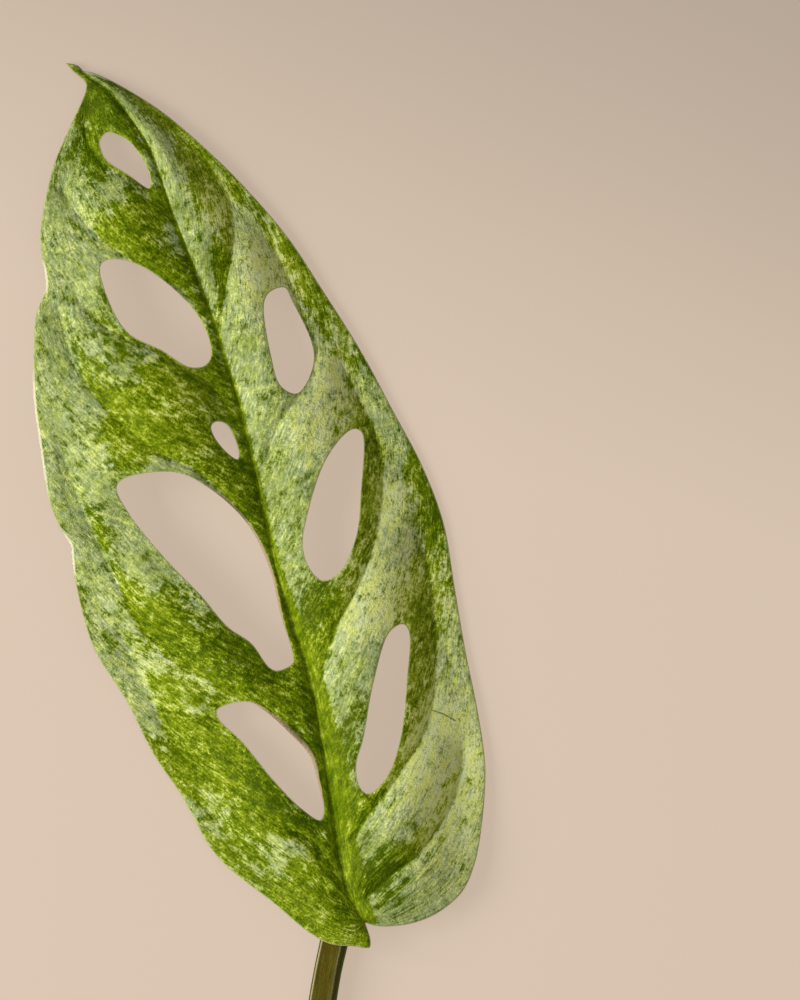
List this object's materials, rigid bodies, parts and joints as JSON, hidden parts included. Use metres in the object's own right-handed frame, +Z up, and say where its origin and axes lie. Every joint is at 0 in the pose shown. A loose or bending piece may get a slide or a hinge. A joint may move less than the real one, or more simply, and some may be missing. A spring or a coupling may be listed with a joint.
{
  "type": "monstera leaf",
  "caption": "Variegated, lopsided oval leaf with natural holes between its side veins, a drip tip and a cut stalk, lying face up.",
  "frame": {"origin": "centre of the bounding box in X and Y, at the level of the surface that the leaf lies on", "axes": "+X to the leaf's right seen from above, +Y from the stalk towards the tip, +Z up out of the leaf's upper side"},
  "size_m": [0.0622, 0.2122, 0.0117],
  "materials": {
    "leaf_surface": "waxy satin leaf, green with pale mint and cream flecks, paler beneath, olive-tan stalk"
  },
  "bodies": {
    "root": {"monstera_leaf": "leaf_surface"}
  },
  "joints": []
}
